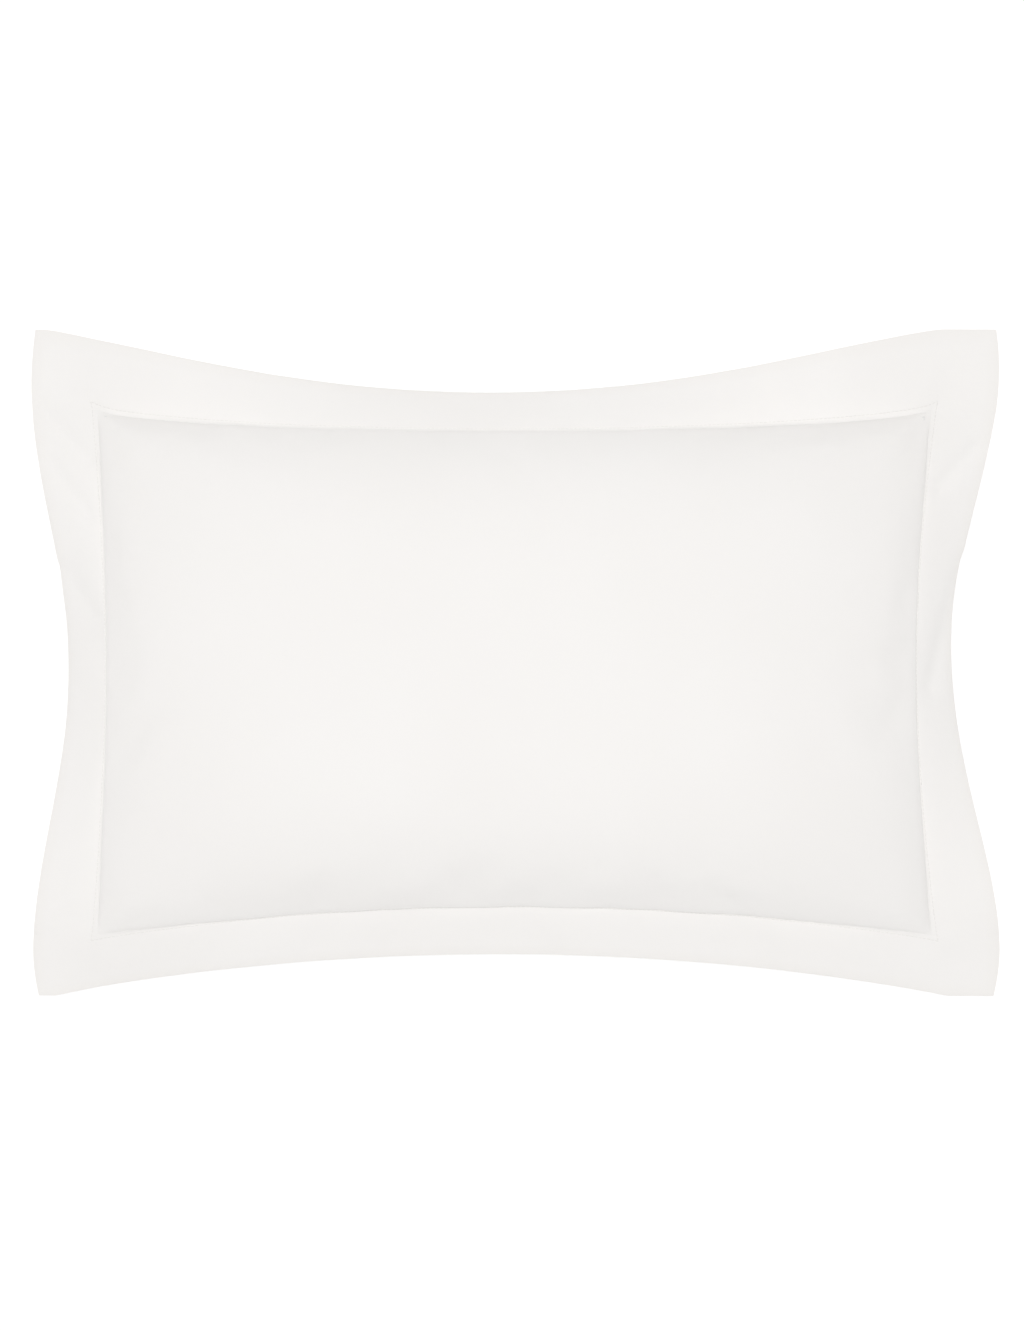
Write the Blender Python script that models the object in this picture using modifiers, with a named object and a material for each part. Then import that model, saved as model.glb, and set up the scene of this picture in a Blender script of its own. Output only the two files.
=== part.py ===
"""Bed pillow: a fibre-filled insert inside a cotton pillowcase with a flat flange all round.

The pillow lies on its back, crown up (+Z), with its long side along X. The origin is the centre of its
footprint, on the surface it lies on. Every cloth panel is an open grid on shared stations, thickened
outwards with Solidify, so that nested panels have parallel facets and keep their clearance.
"""
import math

import bmesh
import bpy
from mathutils import Vector

# Filled pillowcase, in metres and degrees
SEAM_LENGTH = 0.724  # pocket seam from corner to corner, along X
SEAM_WIDTH = 0.462  # pocket seam from corner to corner, along Y
SHORT_SIDE_PULL_IN = 0.012  # how far the filling draws in the middle of a short side
LONG_SIDE_PULL_IN = 0.020
CROWN_HEIGHT = 0.170
SIDE_SEAM_HEIGHT = 0.066  # seam height at the middle of each side
CORNER_SEAM_HEIGHT = 0.042
SETTLED_DEPTH = 0.012  # how far the round belly would reach below the surface it lies on
SHOULDER_FULLNESS = 2.4  # higher is squarer towards the seams
SHOULDER_STEEPNESS = 0.62  # lower is steeper at the seams
FLANGE_WIDTH = 0.058
SHORT_FLANGE_DROOP = 56.0  # below level, at the middle of a short side
LONG_FLANGE_DROOP = 47.0
CORNER_FLANGE_DROOP = 14.0

# Cloth, thread, cord and the clearance between pieces that touch
CASE_CLOTH = 0.0005
TICKING_CLOTH = 0.0005
LABEL_CLOTH = 0.0003
THREAD_RADIUS = 0.00025
PIPING_RADIUS = 0.0018
GAP = 0.0003

# Stitch lines, mouth and closure flap; the mouth is on the back, near the +X side
TOPSTITCH_FROM_SEAM = 0.003
EDGE_SEAM_FROM_EDGE = 0.004
MOUTH_FROM_SEAM = 0.045
MOUTH_STEP = 0.0012  # from the back panel's end to where the flap comes out into the flange
HEM_STITCH_FROM_MOUTH = 0.027
FLAP_DEPTH = 0.180  # how far the flap tucks in past the seam
FLAP_STITCH_FROM_END = 0.010
FLAP_SIDE_CLEARANCE = 0.012  # the tucked part stops this far short of the long seams
TACK_LENGTH = 0.014
TACK_WIDTH = 0.003
TACK_HEIGHT = 0.001

# Insert and labels
INSERT_EASE = 0.015  # in plan, from the case's seam to the insert's seam, at the sides
INSERT_CORNER_EASE = 0.036  # the same at the corners, which the insert doesn't fill
FILLING_EASE = 0.004  # in plan, from the insert's seam to the filling
CARE_LABEL_FROM_MIDDLE = 0.050  # along Y
INSERT_LABEL_FROM_MIDDLE = 0.060
LABEL_EDGES = (0.2, 0.8)  # shares of the row of facets that a label lies in
CARE_LABEL_FACETS = 1  # facets that the label covers along X
INSERT_LABEL_FACETS = 2

# Layout of the grids
LONG_CELLS = 16
WIDE_CELLS = 12
MIN_STATION_SPACING = 0.006
FLANGE_MIDDLE = 0.5  # share of the flange's width where its grid has one more station

HALF_LENGTH = SEAM_LENGTH / 2.0
HALF_WIDTH = SEAM_WIDTH / 2.0
# Depths inside the back panel: a slot for threads and label, then the flap, then the insert
SLOT = GAP + 2.0 * THREAD_RADIUS + GAP
FLAP_LEVEL = SLOT + CASE_CLOTH
INSERT_LEVEL = FLAP_LEVEL + GAP + TICKING_CLOTH
FLANGE_PARTING = THREAD_RADIUS + GAP
TO_THREAD = CASE_CLOTH + GAP + THREAD_RADIUS

# Each shell: plan ease from the case's seam at sides and corners, crown height, depth over the back panel
# and half the parting of its front and back at the seam
CASE = {
    "ease": 0.0,
    "corner_ease": 0.0,
    "top": CROWN_HEIGHT - CASE_CLOTH,
    "level": 0.0,
    "parting": FLANGE_PARTING,
}
INSERT = {
    "ease": INSERT_EASE,
    "corner_ease": INSERT_CORNER_EASE,
    "top": CASE["top"] - GAP - TICKING_CLOTH,
    "level": INSERT_LEVEL,
    "parting": GAP / 2.0,
}
FILLING = {
    "ease": INSERT_EASE + FILLING_EASE,
    "corner_ease": INSERT_CORNER_EASE + FILLING_EASE,
    "top": INSERT["top"] - GAP,
    "level": INSERT_LEVEL + GAP,
    "parting": 0.0,
}
FRONT = 1
BACK = -1

# Colour and roughness of each material
MATERIALS = {
    "case_cotton": ((0.90, 0.89, 0.87), 0.85),
    "sewing_thread": ((0.88, 0.87, 0.85), 0.60),
    "insert_ticking": ((0.86, 0.86, 0.84), 0.80),
    "label_tape": ((0.90, 0.90, 0.90), 0.50),
    "polyester_fibre": ((0.93, 0.93, 0.92), 0.95),
}


def spaced(cells):
    """Stations from -1 to 1, closer together towards the seams, where the cloth turns down."""
    return [math.sin(math.pi / 2.0 * (2.0 * k / cells - 1.0)) for k in range(cells + 1)]


def with_stations(stations, extra, half_size):
    """The stations and the extra ones, without those stations that would crowd an extra one."""
    near = MIN_STATION_SPACING / half_size
    kept = [s for s in stations if abs(s) == 1.0 or all(abs(s - e) > near for e in extra)]
    return sorted(kept + list(extra))


def with_flange(stations):
    """Pairs of a place in the pocket and a share of the flange's width, from edge to edge."""
    first = TOPSTITCH_FROM_SEAM / FLANGE_WIDTH
    last = 1.0 - EDGE_SEAM_FROM_EDGE / FLANGE_WIDTH
    shares = [first, FLANGE_MIDDLE, last, 1.0]
    before = [(-1.0, share) for share in reversed(shares)]
    after = [(1.0, share) for share in shares]
    return before + [(s, 0.0) for s in stations] + after


# Places along X, as shares of the half length, that depend on the mouth and the flap
MOUTH = 1.0 - MOUTH_FROM_SEAM / HALF_LENGTH
FLAP_OUT = MOUTH + MOUTH_STEP / HALF_LENGTH
HEM_STITCH = MOUTH - HEM_STITCH_FROM_MOUTH / HALF_LENGTH
FLAP_END = 1.0 - FLAP_DEPTH / HALF_LENGTH
FLAP_STITCH = FLAP_END + FLAP_STITCH_FROM_END / HALF_LENGTH
FLAP_SIDE = 1.0 - FLAP_SIDE_CLEARANCE / HALF_WIDTH

ALONG = with_stations(spaced(LONG_CELLS), (FLAP_END, FLAP_STITCH, HEM_STITCH, MOUTH, FLAP_OUT), HALF_LENGTH)
ACROSS = with_stations(spaced(WIDE_CELLS), (-FLAP_SIDE, FLAP_SIDE), HALF_WIDTH)
CASE_ALONG = with_flange(ALONG)
CASE_ACROSS = with_flange(ACROSS)
FLANGE_CELLS = (len(CASE_ALONG) - len(ALONG)) // 2


def swell(place):
    """Share of the full height at a place across the pocket: 1 in the middle, 0 at a seam."""
    return (1.0 - abs(place) ** SHOULDER_FULLNESS) ** SHOULDER_STEEPNESS


def pocket_point(u, v, face, shell):
    """A point of a shell's front or back surface; u and v run from seam to seam."""
    ease = shell["ease"] + (shell["corner_ease"] - shell["ease"]) * (u * v) ** 2
    half_length = HALF_LENGTH - ease - SHORT_SIDE_PULL_IN * (1.0 - v * v) * u * u
    half_width = HALF_WIDTH - ease - LONG_SIDE_PULL_IN * (1.0 - u * u) * v * v
    share = swell(u) * swell(v)
    towards_corner = u * (1.0 - ease / HALF_LENGTH) * v * (1.0 - ease / HALF_WIDTH)
    seam_rise = (SIDE_SEAM_HEIGHT - CORNER_SEAM_HEIGHT) * (1.0 - towards_corner**2)
    seam = CORNER_SEAM_HEIGHT + seam_rise + face * shell["parting"]
    if face == FRONT:
        height = seam + (shell["top"] - SIDE_SEAM_HEIGHT - shell["parting"]) * share
    else:
        belly = SIDE_SEAM_HEIGHT - shell["parting"] - shell["level"] + SETTLED_DEPTH
        height = max(CASE_CLOTH + shell["level"], seam - belly * share)
    return Vector((u * half_length, v * half_width, height))


def droop(at_middle, along):
    """Angle of the flange below level: steepest at the middle of a side, nearly flat at a corner."""
    return math.radians(CORNER_FLANGE_DROOP + (at_middle - CORNER_FLANGE_DROOP) * (1.0 - along * along))


def case_point(station_x, station_y, face):
    """A point of the pillowcase's inner surface, in the pocket or out on the flange."""
    u, share_x = station_x
    v, share_y = station_y
    point = pocket_point(u, v, face, CASE)
    droop_x = droop(SHORT_FLANGE_DROOP, v)
    droop_y = droop(LONG_FLANGE_DROOP, u)
    point.x += math.copysign(share_x * FLANGE_WIDTH * math.cos(droop_x), u)
    point.y += math.copysign(share_y * FLANGE_WIDTH * math.cos(droop_y), v)
    point.z -= FLANGE_WIDTH * (share_x * math.sin(droop_x) + share_y * math.sin(droop_y))
    return point


def cloth_grid(columns, rows, place, face):
    """An open grid of triangles, outer side up on a front and down on a back, and its crossings."""
    mesh = bmesh.new()
    bmesh.ops.create_grid(mesh, x_segments=columns - 1, y_segments=rows - 1, size=1.0)
    crossings = {}
    for vertex in mesh.verts:
        i = round((vertex.co.x + 1.0) / 2.0 * (columns - 1))
        j = round((vertex.co.y + 1.0) / 2.0 * (rows - 1))
        crossings[i, j] = vertex
    for (i, j), vertex in crossings.items():
        vertex.co = place(i, j)
    if face == BACK:
        bmesh.ops.reverse_faces(mesh, faces=mesh.faces[:])
    bmesh.ops.triangulate(mesh, faces=mesh.faces[:], quad_method="FIXED")
    mesh.normal_update()
    return mesh, crossings


def drop_cells(mesh, crossings, unwanted):
    """Deletes the grid's cells for which unwanted(i, j) is true; (i, j) is a cell's lowest crossing."""
    places = {vertex: key for key, vertex in crossings.items()}
    doomed = []
    for triangle in mesh.faces:
        corners = [places[vertex] for vertex in triangle.verts]
        if unwanted(min(i for i, j in corners), min(j for i, j in corners)):
            doomed.append(triangle)
    bmesh.ops.delete(mesh, geom=doomed, context="FACES")
    mesh.normal_update()


def lifted(crossings, keys, distance):
    """Points over the crossings, at a distance along the outward normals."""
    return [crossings[key].co + crossings[key].normal * distance for key in keys]


def ring(margin, columns, rows):
    """Crossings once round the grid, a margin of cells inside its edge."""
    west, east = margin, columns - 1 - margin
    south, north = margin, rows - 1 - margin
    keys = [(i, south) for i in range(west, east)] + [(east, j) for j in range(south, north)]
    keys += [(i, north) for i in range(east, west, -1)]
    return keys + [(west, j) for j in range(north, south, -1)]


def put_in_pillow(name, data, material):
    thing = bpy.data.objects.new(name, data)
    data.materials.append(bpy.data.materials[material])
    bpy.data.collections["bed_pillow"].objects.link(thing)
    return thing


def cloth_panel(name, mesh, thickness, material):
    """A cloth panel from an open grid, thickened on its outer side."""
    data = bpy.data.meshes.new(name)
    mesh.to_mesh(data)
    data.shade_smooth()
    solidify = put_in_pillow(name, data, material).modifiers.new("Cloth thickness", "SOLIDIFY")
    solidify.thickness = thickness
    solidify.offset = 1.0


def tube(name, points, radius, material, closed, resolution):
    """A round thread or cord through the points; a closed one runs round without ends."""
    curve = bpy.data.curves.new(name, "CURVE")
    curve.dimensions = "3D"
    curve.bevel_depth = radius
    curve.bevel_resolution = resolution
    curve.use_fill_caps = not closed
    spline = curve.splines.new("POLY")
    spline.points.add(len(points) - 1)
    for target, point in zip(spline.points, points):
        target.co = (*point, 1.0)
    spline.use_cyclic_u = closed
    put_in_pillow(name, curve, material)


def thread(name, points, closed=False):
    tube(name, points, THREAD_RADIUS, "sewing_thread", closed, resolution=0)


def case_grid(face):
    """The whole front or back of the pillowcase, flange included."""
    return cloth_grid(
        len(CASE_ALONG),
        len(CASE_ACROSS),
        lambda i, j: case_point(CASE_ALONG[i], CASE_ACROSS[j], face),
        face,
    )


def case_front():
    mesh, crossings = case_grid(FRONT)
    keys = ring(FLANGE_CELLS - 1, len(CASE_ALONG), len(CASE_ACROSS))
    thread("flange_topstitch_front", lifted(crossings, keys, TO_THREAD), closed=True)
    cloth_panel("case_front_panel", mesh, CASE_CLOTH, "case_cotton")


def case_back():
    """The back panel ends at the mouth; its stitch lines lie on its outer side."""
    mesh, crossings = case_grid(BACK)
    keys = ring(FLANGE_CELLS - 1, len(CASE_ALONG), len(CASE_ACROSS))
    thread("flange_topstitch_back", lifted(crossings, keys, TO_THREAD), closed=True)
    column = CASE_ALONG.index((HEM_STITCH, 0.0))
    keys = [(column, j) for j in range(FLANGE_CELLS + 1, len(CASE_ACROSS) - FLANGE_CELLS - 1)]
    thread("back_hem_stitch", lifted(crossings, keys, TO_THREAD))
    mouth = CASE_ALONG.index((MOUTH, 0.0))
    drop_cells(mesh, crossings, lambda i, j: i >= mouth)
    cloth_panel("case_back_panel", mesh, CASE_CLOTH, "case_cotton")


def outer_edge_seam():
    """The hidden seam thread, halfway between the two layers of the flange."""
    keys = ring(1, len(CASE_ALONG), len(CASE_ACROSS))
    points = []
    for i, j in keys:
        upper = case_point(CASE_ALONG[i], CASE_ACROSS[j], FRONT)
        lower = case_point(CASE_ALONG[i], CASE_ACROSS[j], BACK)
        points.append(upper.lerp(lower, 0.5))
    thread("outer_edge_seam_thread", points, closed=True)


def flap_level(u, v, share_y):
    """Depth of the flap inside the back panel: none in the seam and the flange, full from the mouth in."""
    if share_y > 0.0 or abs(v) == 1.0:
        return 0.0
    return FLAP_LEVEL * min(1.0, (1.0 - u) / (1.0 - MOUTH))


def closure_flap():
    """The flap makes the back layer of the +X flange and tucks in behind the mouth."""
    mesh, crossings = case_grid(BACK)
    places = {key: (vertex.co.copy(), vertex.normal.copy()) for key, vertex in crossings.items()}
    for (i, j), (position, normal) in places.items():
        v, share_y = CASE_ACROSS[j]
        crossings[i, j].co = position - normal * flap_level(CASE_ALONG[i][0], v, share_y)
    mesh.normal_update()

    stitch = CASE_ALONG.index((FLAP_STITCH, 0.0))
    tucked_rows = range(CASE_ACROSS.index((-FLAP_SIDE, 0.0)), CASE_ACROSS.index((FLAP_SIDE, 0.0)) + 1)
    keys = [(stitch, j) for j in tucked_rows][1:-1]
    thread("flap_hem_stitch", lifted(crossings, keys, TO_THREAD))
    corner = (stitch + 1, row_at(CASE_ACROSS, CARE_LABEL_FROM_MIDDLE))
    label("care_label", crossings, corner, CARE_LABEL_FACETS, CASE_CLOTH + (SLOT - LABEL_CLOTH) / 2.0)

    end = CASE_ALONG.index((FLAP_END, 0.0))
    out = CASE_ALONG.index((FLAP_OUT, 0.0))

    def unwanted(i, j):
        return i < end or (i < out and not (tucked_rows[0] <= j < tucked_rows[-1]))

    drop_cells(mesh, crossings, unwanted)
    cloth_panel("case_closure_flap", mesh, CASE_CLOTH, "case_cotton")


def row_at(stations, from_middle):
    """The row of facets that holds a place along Y."""
    inside = [j for j, (v, share) in enumerate(stations) if share == 0.0 and v * HALF_WIDTH <= from_middle]
    return inside[-1]


def label(name, crossings, corner, facets, distance):
    """A blank label over one row of a panel's facets, from the crossing at its corner towards +X."""
    column, row = corner

    def place(i, j):
        below, above = crossings[column + i, row], crossings[column + i, row + 1]
        position = below.co.lerp(above.co, LABEL_EDGES[j])
        normal = below.normal.lerp(above.normal, LABEL_EDGES[j]).normalized()
        return position + normal * distance

    mesh, _ = cloth_grid(facets + 1, len(LABEL_EDGES), place, BACK)
    cloth_panel(name, mesh, LABEL_CLOTH, "label_tape")


def mouth_tack(name, seam_row, outwards):
    """A dense bar of stitches at one end of the mouth, on the back of the flange just outside the seam."""
    column = CASE_ALONG.index((MOUTH, 0.0))
    corner = case_point(CASE_ALONG[column], CASE_ACROSS[seam_row + outwards], BACK)
    inner = case_point(CASE_ALONG[column - 1], CASE_ACROSS[seam_row + outwards], BACK)
    outer = case_point(CASE_ALONG[column], CASE_ACROSS[seam_row + 2 * outwards], BACK)
    along_mouth = (outer - corner).normalized()
    down = (inner - corner).cross(along_mouth).normalized()
    if down.z > 0.0:
        down.negate()
    across_mouth = along_mouth.cross(down)
    # The cell is twisted, so the bar is lifted by the twist at the share of the cell that it reaches into
    fourth = case_point(CASE_ALONG[column - 1], CASE_ACROSS[seam_row + 2 * outwards], BACK)
    reach = 1.5 * TACK_WIDTH / (inner - corner).length
    twist = reach * max(0.0, (fourth - corner).dot(down))
    centre = corner + along_mouth * TACK_LENGTH + (inner - corner).normalized() * TACK_WIDTH
    centre += down * (twist + CASE_CLOTH + GAP + TACK_HEIGHT / 2.0)
    sides = ((across_mouth, TACK_WIDTH), (along_mouth, TACK_LENGTH), (down, TACK_HEIGHT))
    mesh = bmesh.new()
    bmesh.ops.create_cube(mesh, size=1.0)
    for vertex in mesh.verts:
        unit = vertex.co.copy()
        vertex.co = centre + sum((axis * size * unit[k] for k, (axis, size) in enumerate(sides)), Vector())
    data = bpy.data.meshes.new(name)
    mesh.to_mesh(data)
    put_in_pillow(name, data, "sewing_thread")


def insert_grid(face, shell):
    return cloth_grid(
        len(ALONG),
        len(ACROSS),
        lambda i, j: pocket_point(ALONG[i], ACROSS[j], face, shell),
        face,
    )


def insert():
    """The insert's two ticking panels, the thread and piping of its seam, and its label."""
    upper, crossings = insert_grid(FRONT, INSERT)
    keys = ring(1, len(ALONG), len(ACROSS))
    thread("insert_seam_thread", lifted(crossings, keys, TICKING_CLOTH + GAP + THREAD_RADIUS), closed=True)
    cloth_panel("ticking_upper_panel", upper, TICKING_CLOTH, "insert_ticking")

    lower, crossings = insert_grid(BACK, INSERT)
    corner = (1, row_at([(v, 0.0) for v in ACROSS], INSERT_LABEL_FROM_MIDDLE))
    label("insert_label", crossings, corner, INSERT_LABEL_FACETS, TICKING_CLOTH + GAP)
    cloth_panel("ticking_lower_panel", lower, TICKING_CLOTH, "insert_ticking")


def insert_piping():
    """The corded piping, just outside the insert's seam all the way round."""
    outwards = PIPING_RADIUS + GAP + TICKING_CLOTH
    points = []
    for i, j in ring(0, len(ALONG), len(ACROSS)):
        u, v = ALONG[i], ACROSS[j]
        across_seam = Vector((u if abs(u) == 1.0 else 0.0, v if abs(v) == 1.0 else 0.0, 0.0))
        points.append(pocket_point(u, v, FRONT, INSERT) + across_seam * outwards)
    tube("insert_piping", points, PIPING_RADIUS, "insert_ticking", closed=True, resolution=1)


def fibre_filling():
    """The filling: one closed body of its upper and lower surface, welded along their common edge."""
    upper, _ = insert_grid(FRONT, FILLING)
    lower, _ = insert_grid(BACK, FILLING)
    for mesh in (upper, lower):
        flat_corners = [face for face in mesh.faces if all(vertex.is_boundary for vertex in face.verts)]
        bmesh.ops.delete(mesh, geom=flat_corners, context="FACES")
    data = bpy.data.meshes.new("fibre_filling")
    lower.to_mesh(data)
    upper.from_mesh(data)
    bmesh.ops.remove_doubles(upper, verts=upper.verts[:], dist=GAP / 10.0)
    upper.to_mesh(data)
    data.shade_smooth()
    put_in_pillow("fibre_filling", data, "polyester_fibre")


def cloth_material(name, colour, roughness):
    material = bpy.data.materials.new(name)
    material.use_nodes = True
    shader = material.node_tree.nodes["Principled BSDF"]
    shader.inputs["Base Color"].default_value = (*colour, 1.0)
    shader.inputs["Roughness"].default_value = roughness
    shader.inputs["Metallic"].default_value = 0.0


def build_pillow():
    for thing in list(bpy.data.objects):
        bpy.data.objects.remove(thing, do_unlink=True)
    bpy.context.scene.collection.children.link(bpy.data.collections.new("bed_pillow"))
    for name, (colour, roughness) in MATERIALS.items():
        cloth_material(name, colour, roughness)
    case_front()
    case_back()
    outer_edge_seam()
    closure_flap()
    mouth_tack("mouth_tack_lower", FLANGE_CELLS, -1)
    mouth_tack("mouth_tack_upper", len(CASE_ACROSS) - FLANGE_CELLS - 1, 1)
    insert()
    insert_piping()
    fibre_filling()


build_pillow()
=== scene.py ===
"""Bed pillow, the visual model: a white flanged pillowcase over a fibre-filled insert.

The case is first shaped from a few measured proportions, then a short cloth simulation adds the puckers
and folds. Every piece is built on the simulated grid, so that the pieces inside follow the cloth outside.
Units are metres, in the frame of the CAD model: crown up (+Z), long side along X.
"""
import math

import bpy
import numpy as np
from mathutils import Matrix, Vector

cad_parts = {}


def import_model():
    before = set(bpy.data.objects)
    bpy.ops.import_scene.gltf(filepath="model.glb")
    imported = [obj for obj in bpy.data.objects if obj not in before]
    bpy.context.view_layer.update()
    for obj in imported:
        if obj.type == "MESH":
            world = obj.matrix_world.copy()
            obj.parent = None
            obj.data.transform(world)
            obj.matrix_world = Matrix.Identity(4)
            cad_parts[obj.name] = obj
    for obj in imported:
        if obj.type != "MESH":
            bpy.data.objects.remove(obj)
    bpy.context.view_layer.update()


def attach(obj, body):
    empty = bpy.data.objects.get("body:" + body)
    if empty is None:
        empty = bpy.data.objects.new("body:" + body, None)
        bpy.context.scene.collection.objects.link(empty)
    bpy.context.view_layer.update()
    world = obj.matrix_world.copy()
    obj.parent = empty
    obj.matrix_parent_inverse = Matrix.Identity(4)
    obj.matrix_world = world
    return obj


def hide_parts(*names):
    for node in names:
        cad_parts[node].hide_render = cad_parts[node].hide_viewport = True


# Grid of the case, in cells
POCKET_COLUMNS = 88
POCKET_ROWS = 56
FLANGE_CELLS = 7
COLUMNS = POCKET_COLUMNS + 2 * FLANGE_CELLS
ROWS = POCKET_ROWS + 2 * FLANGE_CELLS

# Heights of the filled pocket
CROWN_HEIGHT = 0.168
SIDE_SEAM_HEIGHT = 0.066
CORNER_SEAM_HEIGHT = 0.042
BELLY_DEPTH = 0.078  # from the side seams down to where the round belly would end
RESTING_HEIGHT = -0.0006  # that the back's rounded underside levels out towards
LOWEST_CLOTH = 0.0008  # of the back's inner surface, which keeps the cloth off the floor
RESTING_SOFTNESS = 0.010  # how gradually the belly turns into the flat patch
SHOULDER_FULLNESS = 3.8
SHOULDER_STEEPNESS = 0.75
SLUMP = 0.07  # how far the fullest place has slipped towards the bottom side, as a share
FLANGE_WIDTH = 0.058

# Outline of each side, seen from above: where its seam and its outer edge lie at the corners, how far they
# draw in at the deepest place, the exponent of that curve, how far the cloth bulges out over the seam, and
# where along the side the edge is deepest and how far that curve reaches to each hand, as shares
LEFT = {"seam": 0.3610, "seam_in": 0.012, "seam_power": 1.0, "edge": 0.4185, "edge_in": 0.0325,
        "edge_power": 2.9, "bulge": 0.006, "deepest": -0.01, "reach": 1.0}
RIGHT = {"seam": 0.3590, "seam_in": 0.018, "seam_power": 1.0, "edge": 0.4190, "edge_in": 0.0420,
         "edge_power": 2.6, "bulge": 0.007, "deepest": 0.03, "reach": 1.0}
TOP = {"seam": 0.220, "seam_in": 0.021, "seam_power": 0.6, "edge": 0.2880, "edge_in": 0.0535,
       "edge_power": 1.27, "bulge": 0.003, "deepest": -0.05, "reach": 0.93}
BOTTOM = {"seam": 0.2340, "seam_in": 0.029, "seam_power": 1.0, "edge": 0.2875, "edge_in": 0.0375,
          "edge_power": 1.0, "bulge": 0.007, "deepest": -0.03, "reach": 0.93}
# Folds pressed into the flange: from the outer edge to the seam, then depth and half width
FLANGE_FOLDS = (
    ((-0.412, 0.226), (-0.366, 0.176), 0.0022, 0.0070),
    ((-0.402, 0.176), (-0.364, 0.126), 0.0018, 0.0065),
    ((-0.391, 0.085), (-0.360, 0.040), 0.0018, 0.0080),
    ((0.399, 0.190), (0.362, 0.150), 0.0022, 0.0070),
    ((0.386, 0.090), (0.356, -0.020), 0.0022, 0.0080),
)
FOLD_TAPER = 0.18  # share of a fold's length over which each end fades
BULGE_NARROWNESS = 24
BULGE_END = 4  # exponent: how late along a side the bulge fades out
RIM_SHARPNESS = 30  # exponent: how close to the seam the back turns up to it
FLANGE_ROUNDS = 70  # of smoothing of the flange
LOWEST_EDGE = 0.004
TILT_SOFTNESS = 0.02
TIP_TUCK = 0.005  # how far the outermost corner is drawn in along X

# Cloth simulation
FRAMES = 20
PRESSURE = 3.0
CLOTH_MASS = 0.02
EXTRA_CLOTH = 0.009  # share by which the cloth is longer than the shaped pocket
SEAM_GATHER = 0.006  # share by which the stitching shortens the seam
SMOOTHING_ROUNDS = 30
CALMING_ROUNDS = 3  # against folds as small as one cell
BROAD_SHARE = 0.97  # of the broad movement, which is left out so that the outline stays
MOST_MOVEMENT = 0.006
FACE_SHARE = 0.15  # of the folds that the taut middle of the face keeps
FOLD_REACH = 0.35  # how far in from a seam the folds fade out, as a share of the half pocket
SEAM_SHARE = 0.30  # of the movement that is kept right at the stitches, which hold the cloth
SEAM_REACH = 0.10
EDGE_SHARE = 0.3  # of the movement that the flange keeps at its outer edge

# Cloth, stitches and the places of the mouth and the flap
POCKET_CLOTH_LENGTH = 0.744  # of the case's pocket, from seam to seam along X
FINE_CELL = 0.5 * (POCKET_CLOTH_LENGTH / POCKET_COLUMNS)
CASE_CLOTH = 0.0005
TICKING_CLOTH = 0.0005
LABEL_CLOTH = 0.0003
LAYER_GAP = 0.0002
HEM_STEP = 0.0005
MOUTH_FROM_SEAM = 0.045
HEM_WIDTH = 0.027
FLAP_DEPTH = 0.180
FLAP_HEM = 0.010
FLAP_SIDE_CELLS = 4
FLAP_INSET = 0.0016
LIP_LIFT = 0.0016
STITCH_LENGTH = 0.0028
STITCH_GAP = 0.0009
STITCH_RADIUS = 0.00028
STITCH_LIFT = 0.4 * STITCH_RADIUS  # of a stitch's middle above the cloth
STITCH_PLACES = (-0.5, -0.3, 0.3, 0.5)  # of a stitch's points, as shares of its length
STITCH_WIDTHS = (0.45, 1.0, 1.0, 0.45)  # at those points, as shares of its radius
TOPSTITCH_CELLS = 1  # on the fine grid, from the seam out
EDGE_SEAM_CELLS = 1
FLAP_ROW_CELLS = 6  # that the flap's hem stitch keeps clear of the long seams
TACK_CELLS = 3  # of a tack's length
TACK_TURNS = 26
TACK_REACH = (0.0004, 0.0026)  # from the mouth's edge, at every other turn
WEAR_CELLS = 3  # width of a panel's worn rim
LABEL_WEAR_CELLS = 1
WEAR_STRENGTH = 0.8

# Labels, in cells of the fine grid: their size, and their place from the middle and from the insert's seam
CASE_LABEL_CELLS = (6, 8)
CASE_LABEL_ASIDE = 10
INSERT_LABEL_CELLS = (8, 6)
INSERT_LABEL_ASIDE = 12
INSERT_LABEL_IN = 8

# Insert, as shares of the case's pocket
INSERT_SHARE = (0.955, 0.930)
FILLING_SHARE = (0.945, 0.915)
INSERT_INSET = 0.0022
FILLING_INSET = 0.0034
SEAM_CLOSING = 14
PIPING_RADIUS = 0.0018
INSERT_ROW_CELLS = 2  # from the insert's seam in to its row of stitching

# Materials
WAVES_PER_METRE = 3.2  # of a wave texture at scale 1
SLUB_SCALE = (60.0, 900.0, 900.0)
SLUB_HEIGHT = 1.4
CRUMPLE_SCALE = 55.0
CRUMPLE_DEPTH = 0.0012
TONE_SCALE = 7.0
TONE_BLEND = (0.3, 0.7)  # where the dark tone ends and the light one starts
WORN_TINT = (0.985, 0.980, 0.972, 1.0)
ROUGHNESS_SPREAD = 0.06

# Camera and studio
LENS = 85.0
SENSOR = 36.0
PICTURE_HEIGHT = 1.1447  # of the plane that the flange lies in
FLANGE_PLANE = 0.045
AIM = (-0.003, -0.0013)
FLOOR_SIZE = 60.0
FLOOR_HEIGHT = -0.0005
FLOOR_COLOUR = (0.80, 0.80, 0.80)
FLOOR_GLOW = 0.30
ZENITH_LIGHT = 0.46
HORIZON_LIGHT = 0.85  # pale studio walls, which light the sides
WALL_TOP = 0.6  # sine of the elevation where the walls end
WINDOW_POWER = 168.0
WINDOW_SIZE = 1.2
WINDOW_PLACE = (-0.18, 0.20, 6.0)


# ------------------------------------------------------------------ shape


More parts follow.
